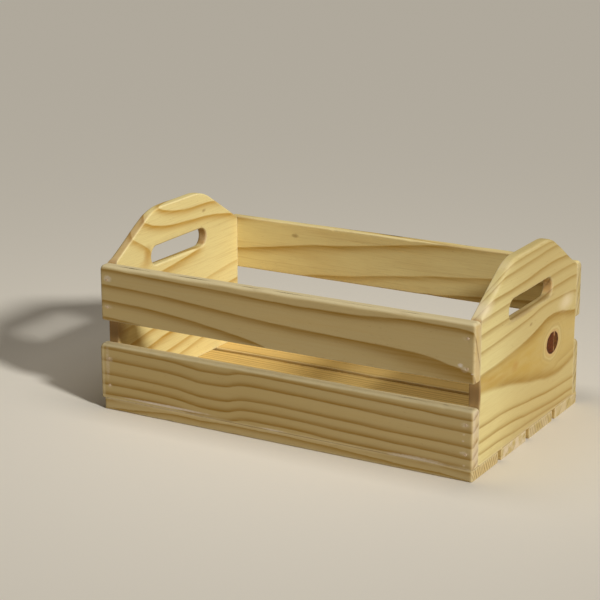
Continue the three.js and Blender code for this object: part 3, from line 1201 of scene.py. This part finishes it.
FLAME_TOP = Line(
    [(-92, 79.8), (-55, 80.8), (-20, 83.2), (0, 85.2), (20, 88.7), (40, 91.6), (55, 90.8),
     (75, 86.6), (92, 83.4)],
    widths=[(-92, 3.0), (0, 5.0), (32, 5.6), (60, 5.2), (92, 4.8)], tone=1.0,
    tones=[(-92, 0.6), (-30, 0.6), (10, 1.0), (92, 1.0)],
)
FLAME_FOOT = Line(
    [(-92, 65.0), (-60, 60.4), (-30, 55.4), (0, 48.2), (20, 44.2), (40, 39.9), (58, 38.9),
     (75, 40.8), (92, 43.6)],
    widths=[(-92, 4.6), (0, 6.4), (30, 7.0), (52, 4.6), (92, 3.6)], tone=0.95, fades=-1,
    tones=[(-92, 0.15), (-66, 0.4), (-42, 0.95), (-20, 1.0), (35, 1.0), (92, 0.9)], soft=2.2,
)
RIGHT_PANEL = Grain(
    lines=[
        FLAME_TOP,
        FLAME_FOOT,
        Line([(-92, 42), (40, 43.0), (60, 47.0), (92, 50.5)], width=4.3, fades=-1, tone=0.4,
             tones=[(-92, 0.0), (36, 0.0), (62, 1.0), (92, 1.0)]),
        Line([(-92, 98.0), (-40, 98.9), (0, 101.0), (30, 103.4), (60, 102.4), (92, 99.2)],
             width=2.0, tone=0.8),
        Line([(-92, 110.8), (-30, 111.4), (20, 112.1), (45, 114.1), (92, 111.8)],
             width=2.7, tone=0.8),
        Line([(-92, 121.9), (-30, 122.9), (40, 124.4), (92, 122.6)], width=2.7, tone=0.7),
        Line([(-92, 132.0), (-20, 132.8), (35, 135.5), (60, 134.5), (92, 132.0)],
             width=3.2, tone=0.85),
        Line([(-92, 144.0), (0, 146.0), (45, 147.3), (92, 147.0)], width=2.7, tone=0.75),
        Line([(-92, 151.3), (0, 152.4), (92, 153.8)], width=2.4, tone=0.6),
        Line([(-92, 39.2), (-40, 36.4), (0, 32.1), (40, 27.6), (92, 25.4)],
             width=2.3, tone=0.9, fades=-1),
        Line([(-92, 27.0), (-40, 25.0), (0, 21.0), (45, 17.2), (92, 15.0)],
             width=2.6, tone=0.85, fades=-1),
        Line([(-92, 17.8), (-40, 15.8), (0, 13.8), (60, 11.2), (92, 9.2)],
             width=2.0, tone=0.75, fades=-1),
    ],
    fan=67.0,
    flame=(FLAME_TOP, FLAME_FOOT,
           [(-92, 0.85), (-45, 1.0), (-22, 1.0), (0, 0.92), (22, 0.72), (45, 0.48), (92, 0.42)]),
    knots=[Knot(45.3, 67.6, 11.9, 8.9, lean=0.25, cracked=True)],
    pins=[(0, 94.5, 1.3)],
    stains=[(-28, 69, 7, 4.5, 0.6), (-78, 71, 20, 4, 0.3), (-52, 67, 18, 3, 0.3)],
    end=RIGHT_END,
    bleached=[(71, 94.5, 15, 7, 0.6), (-85, 128, 14, 8, 0.75), (-70, 142, 10, 6, 0.5),
              (-48, 152, 12, 4, 0.3)],
    # Darker ovals: painted shade and dirt along the slot's lower lip, darker along the foot, and
    # painted shade on the front edge between the slats.
    painted_shade_and_dirt=[(-16, 106.4, 30, 1.6, 0.55), (30, 107.2, 16, 1.4, 0.4), (0, 2, 120, 20, 0.3),
           (-91.5, 65.5, 1.8, 14, 1.0)],
    smears=[(96, 60, 3, 40, 0.2)],
    warmth=0.12,
    pale=wood(238, 222, 156),
    darken_along=[(-92, 0.0), (-65, 0.12), (-40, 0.34), (-15, 0.54), (20, 0.62), (92, 0.62)],
)

LEFT_PANEL = Grain(
    lines=[
        Line([(-92, 178), (-60, 165), (-35, 156.6), (-24, 151.6), (-8, 148.0), (15, 145.4),
              (50, 143.6), (92, 134.0)], width=4.3, tone=0.9),
        Line([(-92, 158), (-50, 146.0), (-35, 140.4), (-18, 137.2), (10, 134.8), (50, 131.4),
              (72, 128.2), (92, 124.2)], width=4.6, tone=0.95),
        Line([(-92, 148), (-68, 136.0), (-60, 131.6), (-52, 127.0), (-44, 121.5), (-36, 113.0),
              (92, 113.0)], width=5.0, tone=0.8,
             tones=[(-92, 0.9), (-56, 1.0), (-44, 0.9), (-38, 0.0), (92, 0.0)]),
        Line([(-92, 92), (-30, 99.6), (-12, 101.4), (10, 103.6), (33, 106.6), (92, 113.0)],
             width=5.6, tone=0.85, tones=[(-92, 0.9), (22, 1.0), (46, 0.0), (92, 0.0)]),
        Line([(-92, 63), (0, 72.6), (42, 78.2), (60, 79.8), (92, 82.0)], width=3.4, tone=0.5),
        Line([(-92, 46), (-55, 52.0), (-40, 54.0), (0, 58.5), (92, 66.0)], width=4.1, tone=0.8),
        Line([(-92, 31), (-40, 41.2), (-18, 44.5), (20, 48.5), (92, 55.0)], width=4.9, tone=0.9),
        Line([(-92, 20), (-10, 30.5), (10, 32.8), (50, 37.0), (92, 41.0)], width=3.2, tone=0.8),
        Line([(-92, 8), (8, 22.8), (30, 25.8), (92, 31.0)], width=3.0, tone=0.7),
    ],
    slope=-1.2,
    read_at=9.0,
    pins=[(38, 138, 1.3)],
    stains=[(-47, 118, 6, 8, 0.7), (-50, 111, 9, 5, 0.4)],
    # A painted shadow: the shade that the upper front slat casts on the inner face and the front
    # edge, between the slats.
    painted_shade_and_dirt=[(-92, 65.5, 14, 14, 0.95)],
    end=LEFT_END,
    end_from=0.25,
    # Pine painted paler: painted light on the inner face.
    pale=LIT_LEFT_PINE,
    late=wood(196, 150, 54),
    warmth=0.1,
)

BOTTOMS = [
    # The front bottom slat takes the front boards' darker pine, painted shade.
    Grain(even=(3.1, 1.3, 1.0), slope=-0.45, warmth=0.2, pale=SHADED_FRONT_PINE, dust=0.05,
          end=(wood(224, 201, 143), wood(136, 103, 55)),
          wave=[(-165, -1.2), (-140, -0.9), (-60, 1.35), (0, 0.9), (100, -0.45), (165, -1.6)]),
    Grain(even=(13.0, 2.4, 0.6), slope=1.6, warmth=0.5, dust=0.6, pale=FLOOR_PINE,
          wave=[(-165, 0), (0, 3.0), (165, -2.0)]),
    Grain(even=(4.4, 1.5, 0.8), slope=-0.5, warmth=0.5, dust=0.3, pale=FLOOR_PINE,
          wave=[(-165, 0), (60, -1.5), (165, 1.0)]),
    Grain(even=(15.0, 2.4, 0.6), slope=1.1, warmth=0.6, dust=0.3, pale=FLOOR_PINE,
          wave=[(-165, 0), (20, 2.5), (165, 3.5)]),
]

# How white the filler is along the joint over the front bottom slat: (u, share).
SEAM_WHITE = [(-165, 0.1), (-150, 0.2), (-64, 0.2), (-54, 0.0), (-14, 0.0), (-6, 0.4), (4, 0.0),
              (90, 0.0), (100, 0.45), (136, 0.45), (150, 0.1), (165, 0.1)]


# ---- Other materials ----


def filler_material():
    g = Graph("wood_filler")
    place = g.coordinates()
    mottle = g.noise(place, scale=900, detail=3.0)
    shade = g.mix(g.smooth(mottle, 0.35, 0.7), wood(212, 182, 142), wood(228, 204, 174))
    fine = g.noise(place, scale=5200, detail=2.0)
    return g.surface(shade, 0.82 + (mottle - 0.5) * 0.2, fine, 0.05 * MM)


def seam_material():
    """Sawdust filler, whiter where more of it was left on."""
    g = Graph("seam_filler")
    place = g.coordinates()
    patches = g.curve(g.dot(place, X) * (1 / MM), SEAM_WHITE)
    mottle = g.noise(place, scale=420, detail=3.0)
    share = (patches + (mottle - 0.5) * 0.8).clamp()
    return g.surface(g.mix(share, SEAM_DUST, FILLER), 0.8 + (mottle - 0.5) * 0.2)


def nail_material():
    g = Graph("nail_wire")
    tarnish = g.noise(g.coordinates(), scale=1400, detail=3.0)
    shade = g.mix(g.smooth(tarnish, 0.4, 0.75), colour(176, 174, 168), colour(120, 112, 102))
    return g.surface(shade, 0.28 + tarnish * 0.25, metallic=1.0)


# ---- Assembly ----


def finish_board(piece, board, grain, seed, edge_distance):
    """Gives a board its material. Its large faces set the normals beside the arrises."""
    flats = piece.modifiers.new("flat_faces", "WEIGHTED_NORMAL")
    flats.weight = 90
    flats.keep_sharp = True
    piece.data.materials.append(Pine(board, grain, seed, edge_distance).material)
    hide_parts(board.node)


UPPER_ARRISES, LOWER_ARRISES = (1.3, 3.3, 1.6, 1.0), (1.8, 3.0, 0.35, 0.35)
# Of a bottom slat's arrises only those out of reach of the other boards were rounded.
BOTTOM_ARRISES = (1.0, 1.3, 1.3, 1.0)
SQUARE_CORNERS = ((0.5, 0.5), (0.5, 0.5))
SLATS = (
    ("front_slat_upper", FRONT_UPPER, 11,
     SlatShape(UPPER_ARRISES, ((2.5, 3.0), (1.8, 3.2)), shifts=(-0.5, -0.1))),
    ("front_slat_lower", FRONT_LOWER, 12,
     SlatShape(LOWER_ARRISES, ((0.5, 2.6), (0.5, 2.6)), shifts=(-2.8, -0.1))),
    ("back_slat_upper", BACK_UPPER, 13,
     SlatShape(UPPER_ARRISES, ((2.0, 3.0), (2.4, 4.0)), shifts=(0.3, 0.2))),
    ("back_slat_lower", BACK_LOWER, 14,
     SlatShape(LOWER_ARRISES, ((0.5, 2.8), (0.5, 3.4)), shifts=(-0.2, -0.4))),
    ("bottom_slat_1", BOTTOMS[0], 21,
     SlatShape((1.0, 1.3, 1.2, 0.35), ((2.0, 0.5), (2.0, 0.5)), end_outer=1.1)),
    ("bottom_slat_2", BOTTOMS[1], 22, SlatShape(BOTTOM_ARRISES, SQUARE_CORNERS, end_outer=1.1)),
    ("bottom_slat_3", BOTTOMS[2], 23, SlatShape(BOTTOM_ARRISES, SQUARE_CORNERS, end_outer=1.1)),
    ("bottom_slat_4", BOTTOMS[3], 24,
     SlatShape((0.35, 1.2, 1.3, 1.0), ((0.5, 2.0), (0.5, 2.0)), end_outer=1.1)),
)
filler = filler_material()
for name, grain, seed, shape in SLATS:
    board = BOARDS[name]
    finish_board(slat_piece(board, shape, seed), board, grain, seed, slat_edge)
    filler_piece(board, seed).data.materials.append(filler)

for name, grain, seed in (("end_panel_left", LEFT_PANEL, 31), ("end_panel_right", RIGHT_PANEL, 32)):
    board = BOARDS[name]
    knots = [(np.array((k.u, k.v - board.v_mid)), k.reach_u + 3) for k in grain.knots]
    piece = panel_piece(board, knots, seed)
    finish_board(piece, board, grain, seed, panel_edge)

seam_dust = seam_material()
for piece in seam_pieces():
    piece.data.materials.append(seam_dust)

wire = nail_material()
for side, inward in (("front", Y), ("back", -Y), ("bottom", Z)):
    nails_piece(side, inward).data.materials.append(wire)

# ---- Floor, light and camera ----

# Sizes and places in this section are metres, as in Blender's scene.
FLOOR_REACH = 30.0
KEY_TURN, KEY_HEIGHT = 72, 31  # round from the front, and above level, in degrees
KEY_STRENGTH, KEY_SPREAD = 2.6, 7.0
KEY_TARGET, KEY_DISTANCE = Vector((0, 0, 0.07)), 3.0
SOFTBOX_PLACE = (0.0, -0.03, 0.60)
SOFTBOX_SIZE, SOFTBOX_POWER = (0.40, 0.14), 0.92
CAMERA_PLACE = (0.6825, -1.2444, 0.5065)
CAMERA_YAW, CAMERA_PITCH, CAMERA_ROLL = 30.1, 16.35, -0.19
CAMERA_LENS, CAMERA_SENSOR = 109.9, 36.0


def floor_piece():
    """A pale floor that the crate stands on."""
    signs = ((-1, -1), (1, -1), (1, 1), (-1, 1))
    corners = [(FLOOR_REACH * x, FLOOR_REACH * y, 0) for x, y in signs]
    mesh = bpy.data.meshes.new("floor")
    mesh.from_pydata(corners, [], [(0, 1, 2, 3)])
    mesh.materials.append(Graph("pale_floor").surface(colour(243, 237, 224), 0.85, specular=0.2))
    scene_object("floor", mesh)


def light(name, kind, tint, energy):
    lamp = bpy.data.lights.new(name, kind)
    lamp.color, lamp.energy = tint, energy
    return lamp, scene_object(name, lamp)


def studio():
    """A low key light off the right end, a softbox overhead, and a dim warm room."""
    world = bpy.data.worlds.new("studio")
    world.use_nodes = True
    background = world.node_tree.nodes["Background"]
    background.inputs["Color"].default_value = (1.0, 0.86, 0.70, 1.0)
    background.inputs["Strength"].default_value = 0.07
    bpy.context.scene.world = world
    bpy.context.scene.view_settings.view_transform = "Standard"

    turn, height = math.radians(KEY_TURN), math.radians(KEY_HEIGHT)
    level = math.cos(height)
    away = Vector((math.sin(turn) * level, -math.cos(turn) * level, math.sin(height)))
    lamp, key = light("key", "SUN", (1.0, 0.985, 0.955), KEY_STRENGTH)
    lamp.angle = math.radians(KEY_SPREAD)
    key.location = KEY_TARGET + away * KEY_DISTANCE
    key.rotation_mode = "QUATERNION"
    key.rotation_quaternion = (-away).to_track_quat("-Z", "Y")

    lamp, softbox = light("softbox", "AREA", (1.0, 0.96, 0.90), SOFTBOX_POWER)
    lamp.shape = "RECTANGLE"
    lamp.size, lamp.size_y = SOFTBOX_SIZE
    softbox.location = SOFTBOX_PLACE


def camera():
    data = bpy.data.cameras.new("camera")
    data.lens, data.sensor_width = CAMERA_LENS, CAMERA_SENSOR
    data.clip_start, data.clip_end = 0.05, 100.0
    eye = scene_object("camera", data)
    turn = Matrix.Identity(3)
    for angle, axis in ((CAMERA_YAW, "Z"), (90 - CAMERA_PITCH, "X"), (CAMERA_ROLL, "Z")):
        turn = turn @ Matrix.Rotation(math.radians(angle), 3, axis)
    eye.rotation_mode = "QUATERNION"
    eye.rotation_quaternion = turn.to_quaternion()
    eye.location = CAMERA_PLACE
    bpy.context.scene.camera = eye


floor_piece()
studio()
camera()
